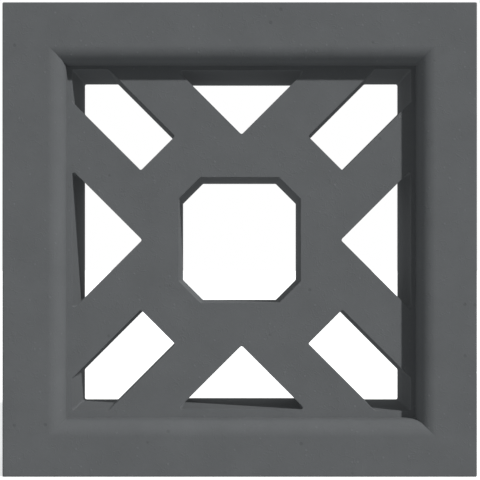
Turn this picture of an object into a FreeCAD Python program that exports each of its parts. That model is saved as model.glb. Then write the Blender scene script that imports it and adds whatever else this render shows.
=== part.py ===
"""Decorative screen block: one cast concrete unit for a pierced wall.

A square frame stands round a recessed lattice, alike on both faces. The lattice is pierced from face to
face by a window in the middle, a slot in each corner and a triangle in the middle of each side.

Millimetres. X runs across the face, Y through the wall and Z up. The origin is in the middle of the bed,
the face that the block stands on, and the front looks towards -Y.
"""

import FreeCAD
import Part
import math
import os

# Block: a 300 mm square module, less one 10 mm mortar joint
block_width = 290.0
block_height = 290.0
block_depth = 90.0
arris = 0.8                # round on the outer edges

# Frame and the recess inside it, on each face
frame_width = 36.5         # outer face to recess wall, at the top and on average at the sides
sill_width = 34.5          # bed to recess wall, at the bottom
lip_radius = 10.0          # round between the frame's face and the recess wall
recess_depth = 14.7        # frame's face to lattice face

# Lattice
core_shift = 1.2           # recess, slots and triangles lie this far towards +X of the block's middle
ledge = 2.8                # lattice face between the recess wall and a triangle, at the top and sides
rib_width = 30.0           # between a slot and the triangles and window beside it
slot_width = 30.3
slot_spread = 1.9          # upper slots point this far above the block's middle, lower ones below it
slot_reach = 0.8           # slots run this much further up and down than the triangles
window_width = 76.2
window_height = 78.4
window_chamfer = 13.5      # leg of the window's corner cuts
hole_radius = 1.2          # corners of every hole, seen from the front

# Places that follow from the sizes above
DIAGONAL = math.sqrt(2.0)  # a 45 degree wall's offset along X or Z, for each unit square to it
mid_height = block_height / 2
front = -block_depth / 2
opening_width = block_width - 2 * frame_width
opening_height = block_height - frame_width - sill_width
field_right = opening_width / 2 - ledge
field_top = mid_height - frame_width - ledge
slot_top = field_top + slot_reach
rib_step = rib_width * DIAGONAL
slot_step = slot_width / 2 * DIAGONAL
slot_upper = slot_spread + slot_step
slot_lower = slot_spread - slot_step
slot_end = (window_width + window_height) / 2 - window_chamfer + rib_step


def prism(outline, depth, corner_radius):
    """Extrude an outline of (x, z) points from the front plane, with its long edges rounded."""
    points = [FreeCAD.Vector(x, front, z) for x, z in outline]
    face = Part.Face(Part.makePolygon(points + points[:1]))
    solid = face.extrude(FreeCAD.Vector(0, depth, 0))
    long_edges = [edge for edge in solid.Edges if abs(edge.tangentAt(edge.FirstParameter).y) > 0.5]
    return solid.makeFillet(corner_radius, long_edges)


def mirrored(outline, side, rise):
    """Place an outline drawn for the upper right quarter in another quarter of the lattice."""
    return [(core_shift + side * x, mid_height + rise * z) for x, z in outline]


def window():
    """The middle hole, an upright rectangle with its four corners cut off."""
    half_width = window_width / 2
    half_height = window_height / 2
    corner = [
        (half_width, half_height - window_chamfer),
        (half_width - window_chamfer, half_height),
    ]
    outline = []
    for side, rise in ((1, 1), (-1, 1), (-1, -1), (1, -1)):
        points = [(side * x, mid_height + rise * z) for x, z in corner]
        outline += points if side == rise else points[::-1]
    return prism(outline, block_depth, hole_radius)


def slot(side, rise):
    """A corner slot: two 45 degree walls, a square inner end and the corner of the hole field."""
    outline = [
        ((slot_end - slot_upper) / 2, (slot_end + slot_upper) / 2),
        (slot_top - slot_upper, slot_top),
        (field_right, slot_top),
        (field_right, field_right + slot_lower),
        ((slot_end - slot_lower) / 2, (slot_end + slot_lower) / 2),
    ]
    return prism(mirrored(outline, side, rise), block_depth, hole_radius)


def upright_triangle(rise):
    """The triangle above or below the window, its point towards the window."""
    point = slot_upper + rib_step
    half_base = field_top - point
    outline = [(0, point), (half_base, field_top), (-half_base, field_top)]
    return prism(mirrored(outline, 1, rise), block_depth, hole_radius)


def side_triangle(side):
    """The triangle at one side of the window, its point towards the window."""
    point = rib_step - slot_lower
    half_base = field_right - point
    outline = [(point, 0), (field_right, half_base), (field_right, -half_base)]
    return prism(mirrored(outline, side, 1), block_depth, hole_radius)


def framed_block():
    """The square block with its outer edges eased and a recess with a rounded lip in each face."""
    corner = FreeCAD.Vector(-block_width / 2, front, 0)
    block = Part.makeBox(block_width, block_depth, block_height, corner)
    block = block.makeFillet(arris, block.Edges)
    left = core_shift - opening_width / 2
    for face_y, floor_y in ((front, front), (-front, -front - recess_depth)):
        recess = Part.makeBox(
            opening_width, recess_depth, opening_height,
            FreeCAD.Vector(left, floor_y, sill_width),
        )
        block = block.cut(recess)
        mouth = [
            edge for edge in block.Edges
            if abs(edge.BoundBox.YMin - face_y) < 1e-6 and abs(edge.BoundBox.YMax - face_y) < 1e-6
            and edge.BoundBox.XMin > left - 1e-6 and edge.BoundBox.XMax < left + opening_width + 1e-6
            and edge.BoundBox.ZMin > sill_width - 1e-6
            and edge.BoundBox.ZMax < sill_width + opening_height + 1e-6
        ]
        block = block.makeFillet(lip_radius, mouth)
    return block


def screen_block():
    """The finished unit: the framed block, pierced by the nine holes of the lattice."""
    holes = [window()]
    for rise in (1, -1):
        holes.append(upright_triangle(rise))
        holes += [slot(side, rise) for side in (1, -1)]
    holes += [side_triangle(side) for side in (1, -1)]
    return framed_block().cut(holes)


os.makedirs("parts", exist_ok=True)
block = screen_block()
block.exportStep("parts/screen_block.step")
print("solids", len(block.Solids), "valid", block.isValid(), "volume", round(block.Volume, 1))
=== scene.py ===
"""Decorative screen block in charcoal concrete, on a plain pale stage."""

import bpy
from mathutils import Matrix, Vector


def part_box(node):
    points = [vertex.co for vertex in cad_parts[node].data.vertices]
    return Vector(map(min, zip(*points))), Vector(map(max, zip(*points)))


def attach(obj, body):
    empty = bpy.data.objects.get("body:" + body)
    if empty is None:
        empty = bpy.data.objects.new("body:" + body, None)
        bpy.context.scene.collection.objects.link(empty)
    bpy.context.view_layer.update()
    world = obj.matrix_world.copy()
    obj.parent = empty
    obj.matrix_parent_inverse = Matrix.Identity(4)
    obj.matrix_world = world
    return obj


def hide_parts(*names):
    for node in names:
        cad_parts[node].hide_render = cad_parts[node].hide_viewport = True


bl_info = {
    "name": "Screen Block",
    "version": (1, 0, 0),
    "blender": (4, 5, 0),
    "location": "View3D > Sidebar > Screen Block",
    "description": "Casts a pierced concrete screen block and sets it on a plain pale stage",
    "category": "Add Mesh",
}

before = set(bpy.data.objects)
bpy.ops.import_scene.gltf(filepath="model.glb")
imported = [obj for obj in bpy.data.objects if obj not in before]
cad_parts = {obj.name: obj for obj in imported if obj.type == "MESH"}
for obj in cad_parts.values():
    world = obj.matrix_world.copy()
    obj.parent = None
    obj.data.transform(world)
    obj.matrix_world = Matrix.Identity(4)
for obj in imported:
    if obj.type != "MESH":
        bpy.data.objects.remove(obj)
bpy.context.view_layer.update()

import math

import bmesh
import bpy
from bpy.props import FloatProperty, FloatVectorProperty, IntProperty, PointerProperty
from mathutils import Matrix, Vector

NODE = "screen_block"
LOW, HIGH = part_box(NODE)
DIAGONAL = math.sqrt(2.0)      # a 45 degree wall's offset along an axis, for each unit square to it
NEAR = 1e-6                    # lengths below this count as nothing
SHARP = math.radians(35)       # edges that turn more than this are shaded as creases
ARRIS_STEPS = 3                # facets across the round on the outer edges
QUARTERS = ((1, 1), (-1, 1), (-1, -1), (1, -1))   # side and rise of each quarter of the face, in order

# Grain of the concrete: scales are in lumps or cells for each metre
PATCH_SCALE = 38
PATCH_DETAIL = 4
PATCH_ROUGHNESS = 0.7          # how much the finer lumps count in the patches
SAND_SCALE = 900
SAND_DETAIL = 2
GRAIN_SCALE = 320
GRAIN_SHARE = 0.1              # share of the cells that hold a pale grain
GRAIN_SIZE = 0.28              # a grain's radius, as a part of its cell
PIT_SCALE = 160
PIT_SHARE = 0.05               # share of the cells that hold an air hole
PIT_SIZE = 0.22                # an air hole's radius, as a part of its cell
WRINKLE_SCALE = 260
WRINKLE_DETAIL = 1
WRINKLE_WIDTH = 0.04           # half of a wrinkle's width, in values of its noise
CLUSTER_SCALE = 110            # wrinkles lie in clusters
CLUSTER_DETAIL = 2
CLUSTER_RANGE = (0.4, 0.65)    # from no wrinkles to full ones, in values of the clusters' noise
RELIEF_HEIGHT = 0.0004         # metres
ROUGHNESS_SPREAD = 0.06
GLOSS = 0.25                   # half of the usual specular level, for a dusty surface
NOISE_MEAN = 0.5
NOISE_RANGE = (0.25, 0.75)     # nearly all the values of a noise lie in it
STEP = 0.01                    # a range this narrow acts as a step

# Stage: directions point towards the lamps, and the block's front looks towards -Y
FLOOR_REACH = 20               # metres from the middle to the floor's edges
LAMP_ANGLE = math.radians(2.5)
WHITE = (1, 1, 1)
KEY_FROM = (1, -1, 1)
SOFT_LAMPS = (
    ("front_fill", (0, -1, 0), 0.10),
    ("left_fill", (-1, -0.3, 0), 0.45),
    ("low_fill", (0, -0.3, -1), 0.42),
    ("upper_left_fill", (-1, 0.2, 1), 0.12),
    ("lower_right_fill", (1, 0.2, -1), 0.19),
    ("rim", (1, 0.8, 1), 0.33),
)

# Picture and camera: places are in pixels from the picture's upper left corner
PICTURE_SIZE = 480
FACE_WIDTH = 475.04
FACE_MIDDLE = (239.70, 239.50)
SENSOR = 36.0                  # millimetres
NEAREST = 0.01                 # metres: the camera sees nothing that is nearer


def length(label, text, default):
    """A length in metres that a user may change."""
    return FloatProperty(
        name=label, description=text, default=default, min=0.0, precision=4, unit="LENGTH")


def amount(label, text, default):
    """A plain number that a user may change."""
    return FloatProperty(name=label, description=text, default=default, min=0.0, precision=3)


def colour(label, text, default):
    """A linear colour that a user may change."""
    return FloatVectorProperty(
        name=label, description=text, default=default, size=3, min=0.0, max=1.0, subtype="COLOR")


class BlockSizes(bpy.types.PropertyGroup):
    """Sizes of the block, as it comes out of its mould."""

    width: length("Width", "Across the face", HIGH[0] - LOW[0])
    height: length("Height", "From bed to bed", HIGH[2] - LOW[2])
    depth: length("Depth", "Through the wall", HIGH[1] - LOW[1])
    arris: length("Arris", "Round on the outer edges", 0.0008)
    frame_width: length(
        "Frame", "Outer face to recess wall, at the top and on average at the sides", 0.0365)
    sill_width: length("Sill", "Bed to recess wall, at the bottom", 0.0345)
    lip_radius: length("Lip radius", "Round between the frame's face and the recess wall", 0.010)
    recess_depth: length("Recess depth", "Frame's face to lattice face", 0.0147)
    core_shift: length("Core shift", "Recess, slots and triangles lie this far to the right", 0.0012)
    ledge: length("Ledge", "Lattice face between the recess wall and a triangle", 0.0028)
    rib_width: length("Rib", "Between a slot and the holes beside it", 0.030)
    slot_width: length("Slot", "Square to the slot's length", 0.0303)
    slot_spread: length("Slot spread", "Upper slots point this far above the middle", 0.0019)
    slot_reach: length("Slot reach", "Slots run this much further up and down than triangles", 0.0008)
    window_width: length("Window width", "Across the middle hole", 0.0762)
    window_height: length("Window height", "Up the middle hole", 0.0784)
    window_chamfer: length("Window chamfer", "Leg of the window's corner cuts", 0.0135)
    hole_radius: length("Hole corners", "Round in the corners of every hole", 0.0012)
    rim: length("Rim", "Easing of the edge where a hole meets the lattice face", 0.0001)
    lip_steps: IntProperty(name="Lip steps", description="Facets across the lip", default=16, min=2)
    corner_steps: IntProperty(
        name="Corner steps", description="Facets in a hole's corner", default=4, min=1)


class ConcreteFinish(bpy.types.PropertyGroup):
    """Colours and grain of the concrete."""

    paste: colour("Paste", "Mean colour of the concrete", (0.118, 0.123, 0.127))
    mottle: amount("Mottling", "How far broad patches stray from the mean tone", 0.065)
    speckle: amount("Speckle", "How far the fine sand strays from the mean tone", 0.03)
    grains: amount("Pale grains", "How much lighter the sparse grains are", 0.14)
    # painted shade: darkens the base colour inside the air holes, where shade would fall in a real hole
    painted_pit_shade: amount("Pits", "How much darker the sparse air holes are", 0.15)
    relief: amount("Relief", "Strength of the skin's fine wrinkles", 0.24)
    roughness: amount("Roughness", "How matt the surface is", 0.9)


class StageLook(bpy.types.PropertyGroup):
    """Floor, light and camera."""

    floor: colour("Floor", "Colour of the floor", (0.9, 0.9, 0.9))
    glow: amount("Floor glow", "Light that the white floor gives off by itself", 0.55)
    key: amount("Key light", "Strength of the light from the upper right", 3.3)
    soft: colour("Soft light", "Colour of the soft lamps and of the room", (0.955, 0.985, 1.0))
    fill: amount("Fill light", "Strength of the soft lamps round the block", 1.0)
    room: amount("Room", "Brightness of the room all round", 0.185)
    backdrop: amount("Backdrop", "Brightness that the white backdrop adds from behind", 0.36)
    distance: length("Camera distance", "From the lens to the block's face", 0.690)
    eye_side: FloatProperty(
        name="Eye side", description="Camera to the right of the middle", default=-0.0019, unit="LENGTH")
    eye_height: length("Eye height", "Camera above the floor", 0.1302)


# Outlines of the holes, seen from the front, round the middle of the face


def rounded(outline, radius, steps, grow=0.0):
    """Points round a convex outline with arcs for corners, grown outwards by a margin."""
    points = []
    corners = [Vector(point) for point in outline]
    for before, corner, after in zip(corners[-1:] + corners[:-1], corners, corners[1:] + corners[:1]):
        to_before = (before - corner).normalized()
        to_after = (after - corner).normalized()
        half_angle = to_before.angle(to_after) / 2
        middle = corner + (to_before + to_after).normalized() * radius / math.sin(half_angle)
        start = (corner + to_before * radius / math.tan(half_angle) - middle).normalized()
        end = (corner + to_after * radius / math.tan(half_angle) - middle).normalized()
        for step in range(steps + 1):
            points.append(middle + start.slerp(end, step / steps) * (radius + grow))
    return points


def window_outline(sizes):
    """The middle hole, an upright rectangle with its four corners cut off."""
    half_width = sizes.window_width / 2
    half_height = sizes.window_height / 2
    outline = []
    for side, rise in QUARTERS:
        corner = [
            (side * half_width, rise * (half_height - sizes.window_chamfer)),
            (side * (half_width - sizes.window_chamfer), rise * half_height),
        ]
        outline += corner if side == rise else corner[::-1]
    return outline


def lattice_outlines(sizes):
    """Outlines of the four slots and the four triangles."""
    field_right = sizes.width / 2 - sizes.frame_width - sizes.ledge
    field_top = sizes.height / 2 - sizes.frame_width - sizes.ledge
    slot_top = field_top + sizes.slot_reach
    rib = sizes.rib_width * DIAGONAL
    upper = sizes.slot_spread + sizes.slot_width / 2 * DIAGONAL
    lower = sizes.slot_spread - sizes.slot_width / 2 * DIAGONAL
    end = (sizes.window_width + sizes.window_height) / 2 - sizes.window_chamfer + rib
    slot = [
        ((end - lower) / 2, (end + lower) / 2),
        (field_right, field_right + lower),
        (field_right, slot_top),
        (slot_top - upper, slot_top),
        ((end - upper) / 2, (end + upper) / 2),
    ]
    top_point = upper + rib
    side_point = rib - lower
    top_half = field_top - top_point
    side_half = field_right - side_point
    top_triangle = [(0, top_point), (top_half, field_top), (-top_half, field_top)]
    side_triangle = [(side_point, 0), (field_right, -side_half), (field_right, side_half)]
    placed = [(slot, side, rise) for rise in (1, -1) for side in (1, -1)]
    placed += [(top_triangle, 1, rise) for rise in (1, -1)]
    placed += [(side_triangle, side, 1) for side in (1, -1)]
    return [
        [(sizes.core_shift + side * x, rise * y) for x, y in outline]
        for outline, side, rise in placed
    ]


# The block's mesh: its front half is drawn face up above the middle plane, mirrored, and stood upright


def recess(sizes):
    """Middle of the recess, and half its width and height."""
    middle = (sizes.core_shift, (sizes.sill_width - sizes.frame_width) / 2)
    half_height = (sizes.height - sizes.frame_width - sizes.sill_width) / 2
    return middle, (sizes.width / 2 - sizes.frame_width, half_height)


def add_face(mesh, points, level):
    """A flat face through the points, at one level."""
    return mesh.faces.new([mesh.verts.new((x, y, level)) for x, y in points])


def add_hole(mesh, outline, level, sizes):
    """One hole's eased rim and its wall, down to the middle plane; returns the rim's outer edges."""
    face = add_face(mesh, rounded(outline, sizes.hole_radius, sizes.corner_steps, sizes.rim), level)
    face.normal_update()
    if face.normal.z < 0:
        face.normal_flip()
    rim = bmesh.ops.inset_individual(
        mesh, faces=[face], thickness=sizes.rim, depth=-sizes.rim, use_even_offset=True)["faces"]
    outer_edges = [edge for rim_face in rim for edge in rim_face.edges if edge.is_boundary]
    floor = bmesh.ops.extrude_discrete_faces(mesh, faces=[face])["faces"]
    for vert in floor[0].verts:
        vert.co.z = 0
    bmesh.ops.delete(mesh, geom=floor, context="FACES_ONLY")
    return outer_edges


def next_ring(mesh, edges, middle, half_size, level):
    """Draw a ring of faces from a four-sided loop to a new one, which is returned."""
    grown = bmesh.ops.extrude_edge_only(mesh, edges=edges)["geom"]
    for vert in grown:
        if isinstance(vert, bmesh.types.BMVert):
            side = math.copysign(half_size[0], vert.co.x)
            rise = math.copysign(half_size[1], vert.co.y)
            vert.co = (middle[0] + side, middle[1] + rise, level)
    return [edge for edge in grown if isinstance(edge, bmesh.types.BMEdge)]


def add_frame(mesh, level, sizes):
    """The recess wall, lip, frame and outer sides; returns the four edges round the lattice."""
    middle, half_size = recess(sizes)
    front = sizes.depth / 2
    points = [
        (middle[0] + side * half_size[0], middle[1] + rise * half_size[1])
        for side, rise in QUARTERS
    ]
    lattice = add_face(mesh, points, level)
    foot = lattice.edges[:]
    bmesh.ops.delete(mesh, geom=[lattice], context="FACES_ONLY")
    ring = foot
    for step in range(sizes.lip_steps + 1):
        turn = math.pi / 2 * step / sizes.lip_steps
        out = sizes.lip_radius * (1 - math.cos(turn))
        drop = sizes.lip_radius * (1 - math.sin(turn))
        ring = next_ring(mesh, ring, middle, [half + out for half in half_size], front - drop)
    for height in (front, 0):
        ring = next_ring(mesh, ring, (0, 0), (sizes.width / 2, sizes.height / 2), height)
    return foot


def on_arris(edge, sizes):
    """Whether an edge lies where two of the block's outer faces meet."""
    half = (sizes.width / 2, sizes.height / 2, sizes.depth / 2)
    shared = [
        axis for axis in range(3)
        if all(abs(abs(vert.co[axis]) - half[axis]) < NEAR for vert in edge.verts)
    ]
    return len(shared) >= 2


def on_mitre(edge, sizes):
    """Whether an edge lies where two sides of the lip meet in a corner of the recess."""
    middle, half_size = recess(sizes)
    for vert in edge.verts:
        across = abs(vert.co.x - middle[0]) - half_size[0]
        up = abs(vert.co.y - middle[1]) - half_size[1]
        if abs(across - up) > NEAR or across < -NEAR:
            return False
    return True


def block_mesh(sizes):
    """The whole block as a closed mesh, standing on its bed."""
    mesh = bmesh.new()
    level = sizes.depth / 2 - sizes.recess_depth
    lattice = add_frame(mesh, level, sizes)
    for outline in [window_outline(sizes)] + lattice_outlines(sizes):
        lattice += add_hole(mesh, outline, level, sizes)
    bmesh.ops.triangle_fill(mesh, edges=lattice, use_beauty=True, use_dissolve=False, normal=(0, 0, 1))

    everything = mesh.verts[:] + mesh.edges[:] + mesh.faces[:]
    bmesh.ops.mirror(mesh, geom=everything, matrix=Matrix(), merge_dist=NEAR, axis="Z")
    bmesh.ops.remove_doubles(mesh, verts=mesh.verts[:], dist=NEAR)
    bmesh.ops.recalc_face_normals(mesh, faces=mesh.faces[:])
    for edge in mesh.edges:
        edge.smooth = edge.calc_face_angle(0) < SHARP and not on_mitre(edge, sizes)
    for face in mesh.faces:
        face.smooth = True
    outer_edges = [edge for edge in mesh.edges if on_arris(edge, sizes)]
    bmesh.ops.bevel(
        mesh, geom=outer_edges, offset=sizes.arris, offset_type="OFFSET", segments=ARRIS_STEPS,
        profile=0.5, affect="EDGES", clamp_overlap=False, material=-1)
    upright = Matrix.Rotation(math.pi / 2, 3, "X")
    bmesh.ops.rotate(mesh, verts=mesh.verts[:], cent=(0, 0, 0), matrix=upright)
    bmesh.ops.translate(mesh, verts=mesh.verts[:], vec=(0, 0, sizes.height / 2))
    return mesh


# Materials


def add_node(tree, kind, **inputs):
    """Add a shader node and set its inputs by name."""
    node = tree.nodes.new(kind)
    for name, value in inputs.items():
        node.inputs[name.replace("_", " ")].default_value = value
    return node


def link(tree, value, socket):
    """Feed a socket from another node's output."""
    tree.links.new(value, socket)


def noise(tree, place, scale, detail, roughness=0.5):
    """Smooth noise from 0 to 1, with a mean of one half; the scale is in lumps for each metre."""
    node = add_node(tree, "ShaderNodeTexNoise", Scale=scale, Detail=detail, Roughness=roughness)
    link(tree, place, node.inputs["Vector"])
    return node.outputs["Fac"]


def stretch(tree, value, low, high, dark, light):
    """Map a range of values to another, and hold its ends."""
    node = add_node(
        tree, "ShaderNodeMapRange", From_Min=low, From_Max=high, To_Min=dark, To_Max=light)
    link(tree, value, node.inputs["Value"])
    return node.outputs["Result"]


def combine(tree, operation, first, second, third=None):
    """One step of arithmetic; each value is an output or a number."""
    node = tree.nodes.new("ShaderNodeMath")
    node.operation = operation
    for socket, value in zip(node.inputs, (first, second, third)):
        if isinstance(value, bpy.types.NodeSocket):
            link(tree, value, socket)
        elif value is not None:
            socket.default_value = value
    return node.outputs["Value"]


def spots(tree, place, scale, share, size):
    """Soft spots, 1 inside and 0 outside, in a share of the cells; the size is a part of a cell."""
    cells = add_node(tree, "ShaderNodeTexVoronoi", Scale=scale)
    link(tree, place, cells.inputs["Vector"])
    parts = add_node(tree, "ShaderNodeSeparateColor")
    link(tree, cells.outputs["Color"], parts.inputs["Color"])
    chosen = stretch(tree, parts.outputs["Red"], 1 - share, 1 - share + STEP, 0, 1)
    inside = stretch(tree, cells.outputs["Distance"], size / 2, size, 1, 0)
    return combine(tree, "MULTIPLY", chosen, inside)


def wrinkles(tree, place):
    """Fine winding ridges, 1 along the middle and 0 beside them, which come in clusters."""
    offset = combine(tree, "SUBTRACT", noise(tree, place, WRINKLE_SCALE, WRINKLE_DETAIL), NOISE_MEAN)
    ridges = stretch(tree, combine(tree, "ABSOLUTE", offset, 0), 0, WRINKLE_WIDTH, 1, 0)
    clusters = stretch(tree, noise(tree, place, CLUSTER_SCALE, CLUSTER_DETAIL), *CLUSTER_RANGE, 0, 1)
    return combine(tree, "MULTIPLY", ridges, clusters)


def concrete_material(finish):
    """Matt charcoal concrete: mottled, sanded and wrinkled; pale grains, and dented air holes with
    painted shade.
    """
    material = bpy.data.materials.new("charcoal_concrete")
    material.use_nodes = True
    tree = material.node_tree
    shader = tree.nodes["Principled BSDF"]
    place = add_node(tree, "ShaderNodeTexCoord").outputs["Object"]

    patches = noise(tree, place, PATCH_SCALE, PATCH_DETAIL, PATCH_ROUGHNESS)
    sand = noise(tree, place, SAND_SCALE, SAND_DETAIL)
    grain = spots(tree, place, GRAIN_SCALE, GRAIN_SHARE, GRAIN_SIZE)
    # air holes: one mask for their dent in the bump and for their painted shade in the colour
    pit_and_painted_shade = spots(tree, place, PIT_SCALE, PIT_SHARE, PIT_SIZE)

    tone = stretch(tree, patches, *NOISE_RANGE, 1 - finish.mottle, 1 + finish.mottle)
    sand_tone = stretch(tree, sand, *NOISE_RANGE, 1 - finish.speckle, 1 + finish.speckle)
    tone = combine(tree, "MULTIPLY", tone, sand_tone)
    tone = combine(tree, "MULTIPLY_ADD", grain, finish.grains, tone)
    # painted shade: the air holes are made darker in colour, on top of their dent in the bump
    tone = combine(tree, "MULTIPLY_ADD", pit_and_painted_shade, -finish.painted_pit_shade, tone)
    tint = add_node(tree, "ShaderNodeVectorMath", Vector=finish.paste)
    tint.operation = "SCALE"
    link(tree, tone, tint.inputs["Scale"])
    link(tree, tint.outputs["Vector"], shader.inputs["Base Color"])

    smoothest = finish.roughness - ROUGHNESS_SPREAD
    roughest = finish.roughness + ROUGHNESS_SPREAD
    link(tree, stretch(tree, sand, *NOISE_RANGE, smoothest, roughest), shader.inputs["Roughness"])
    shader.inputs["Specular IOR Level"].default_value = GLOSS

    height = combine(tree, "ADD", combine(tree, "SUBTRACT", grain, pit_and_painted_shade), wrinkles(tree, place))
    bump = add_node(tree, "ShaderNodeBump", Strength=finish.relief, Distance=RELIEF_HEIGHT)
    link(tree, height, bump.inputs["Height"])
    link(tree, bump.outputs["Normal"], shader.inputs["Normal"])
    return material


def floor_material(look):
    """Plain pale floor, which gives off a little light so that it stays white."""
    material = bpy.data.materials.new("pale_floor")
    material.use_nodes = True
    shader = material.node_tree.nodes["Principled BSDF"]
    shader.inputs["Base Color"].default_value = (*look.floor, 1)
    shader.inputs["Roughness"].default_value = 1.0
    shader.inputs["Specular IOR Level"].default_value = 0.0
    shader.inputs["Emission Color"].default_value = (*WHITE, 1)
    shader.inputs["Emission Strength"].default_value = look.glow
    return material


# Stage


def add_floor(scene, look):
    """A wide pale floor that throws no light on the block."""
    shape = bmesh.new()
    bmesh.ops.create_grid(shape, x_segments=1, y_segments=1, size=FLOOR_REACH)
    mesh = bpy.data.meshes.new("floor")
    shape.to_mesh(mesh)
    shape.free()
    floor = bpy.data.objects.new("floor", mesh)
    scene.collection.objects.link(floor)
    mesh.materials.append(floor_material(look))
    floor.visible_diffuse = False
    floor.visible_glossy = False


def add_lamp(scene, name, towards, strength, tint, shadow):
    """A distant lamp that shines from one direction."""
    light = bpy.data.lights.new(name, "SUN")
    light.energy = strength
    light.color = tint
    light.angle = LAMP_ANGLE
    light.use_shadow = shadow
    lamp = bpy.data.objects.new(name, light)
    lamp.rotation_euler = Vector(towards).to_track_quat("Z", "Y").to_euler()
    scene.collection.objects.link(lamp)


def add_lamps(scene, look):
    """A key light with shadow from the upper right, and soft lamps without shadow round the block."""
    add_lamp(scene, "key", KEY_FROM, look.key, WHITE, True)
    for name, towards, strength in SOFT_LAMPS:
        add_lamp(scene, name, towards, strength * look.fill, look.soft, False)


def add_room(scene, look):
    """Even light all round, with more from behind; the camera itself sees plain white there."""
    world = bpy.data.worlds.new("studio")
    scene.world = world
    world.use_nodes = True
    tree = world.node_tree
    tree.nodes.clear()
    place = add_node(tree, "ShaderNodeTexCoord").outputs["Generated"]
    axes = add_node(tree, "ShaderNodeSeparateXYZ")
    link(tree, place, axes.inputs["Vector"])
    behind = combine(tree, "MAXIMUM", axes.outputs["Y"], 0.0)
    strength = combine(tree, "MULTIPLY_ADD", behind, look.backdrop, look.room)
    lit = add_node(tree, "ShaderNodeBackground", Color=(*look.soft, 1))
    link(tree, strength, lit.inputs["Strength"])
    seen = add_node(tree, "ShaderNodeBackground", Color=(*WHITE, 1), Strength=1.0)
    ray = add_node(tree, "ShaderNodeLightPath")
    mix = add_node(tree, "ShaderNodeMixShader")
    output = add_node(tree, "ShaderNodeOutputWorld")
    link(tree, ray.outputs["Is Camera Ray"], mix.inputs["Fac"])
    link(tree, lit.outputs["Background"], mix.inputs[1])
    link(tree, seen.outputs["Background"], mix.inputs[2])
    link(tree, mix.outputs["Shader"], output.inputs["Surface"])
    scene.view_settings.view_transform = "Standard"


def add_camera(scene, look):
    """A camera that looks square at the face from a little below its middle, shifted to frame it."""
    lens = bpy.data.cameras.new("camera")
    camera = bpy.data.objects.new("camera", lens)
    scene.collection.objects.link(camera)
    camera.location = (look.eye_side, LOW[1] - look.distance, look.eye_height)
    camera.rotation_euler = (math.pi / 2, 0, 0)
    scale = FACE_WIDTH / (HIGH[0] - LOW[0])
    lens.sensor_width = SENSOR
    lens.lens = scale * look.distance / PICTURE_SIZE * SENSOR
    right = FACE_MIDDLE[0] + look.eye_side * scale
    down = FACE_MIDDLE[1] + (HIGH[2] / 2 - look.eye_height) * scale
    lens.shift_x = (PICTURE_SIZE / 2 - right) / PICTURE_SIZE
    lens.shift_y = (down - PICTURE_SIZE / 2) / PICTURE_SIZE
    lens.clip_start = NEAREST
    scene.camera = camera


# Operators and panel


class SCREENBLOCK_OT_cast_block(bpy.types.Operator):
    """Cast the block: shape its mesh and give it its concrete"""

    bl_idname = "screenblock.cast_block"
    bl_label = "Cast Block"
    bl_options = {"REGISTER", "UNDO"}

    def execute(self, context):
        sizes = context.scene.screen_block_sizes
        shape = block_mesh(sizes)
        mesh = bpy.data.meshes.new("block")
        shape.to_mesh(mesh)
        shape.free()
        block = bpy.data.objects.new("block", mesh)
        context.scene.collection.objects.link(block)
        mesh.materials.append(concrete_material(context.scene.screen_block_finish))
        even = block.modifiers.new("even_normals", "WEIGHTED_NORMAL")
        even.keep_sharp = True
        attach(block, "root")
        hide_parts(NODE)
        return {"FINISHED"}


class SCREENBLOCK_OT_set_stage(bpy.types.Operator):
    """Set the stage: floor, light and camera"""

    bl_idname = "screenblock.set_stage"
    bl_label = "Set Stage"
    bl_options = {"REGISTER", "UNDO"}

    def execute(self, context):
        look = context.scene.screen_block_stage
        add_floor(context.scene, look)
        add_lamps(context.scene, look)
        add_room(context.scene, look)
        add_camera(context.scene, look)
        return {"FINISHED"}


class SCREENBLOCK_PT_panel(bpy.types.Panel):
    """Sizes, finish and stage of the screen block"""

    bl_idname = "SCREENBLOCK_PT_panel"
    bl_label = "Screen Block"
    bl_space_type = "VIEW_3D"
    bl_region_type = "UI"
    bl_category = "Screen Block"

    def draw(self, context):
        layout = self.layout
        layout.operator(SCREENBLOCK_OT_cast_block.bl_idname)
        layout.operator(SCREENBLOCK_OT_set_stage.bl_idname)
        for group in (
            context.scene.screen_block_sizes,
            context.scene.screen_block_finish,
            context.scene.screen_block_stage,
        ):
            box = layout.box()
            for name in group.__annotations__:
                box.prop(group, name)


CLASSES = (
    BlockSizes,
    ConcreteFinish,
    StageLook,
    SCREENBLOCK_OT_cast_block,
    SCREENBLOCK_OT_set_stage,
    SCREENBLOCK_PT_panel,
)


def register():
    """Make the classes and their settings known to Blender."""
    for cls in CLASSES:
        bpy.utils.register_class(cls)
    bpy.types.Scene.screen_block_sizes = PointerProperty(type=BlockSizes)
    bpy.types.Scene.screen_block_finish = PointerProperty(type=ConcreteFinish)
    bpy.types.Scene.screen_block_stage = PointerProperty(type=StageLook)


def unregister():
    """Take the settings and the classes away again."""
    del bpy.types.Scene.screen_block_stage
    del bpy.types.Scene.screen_block_finish
    del bpy.types.Scene.screen_block_sizes
    for cls in reversed(CLASSES):
        bpy.utils.unregister_class(cls)


def main():
    """Build the block and its stage."""
    register()
    bpy.ops.screenblock.cast_block()
    bpy.ops.screenblock.set_stage()


if __name__ == "__main__":
    main()
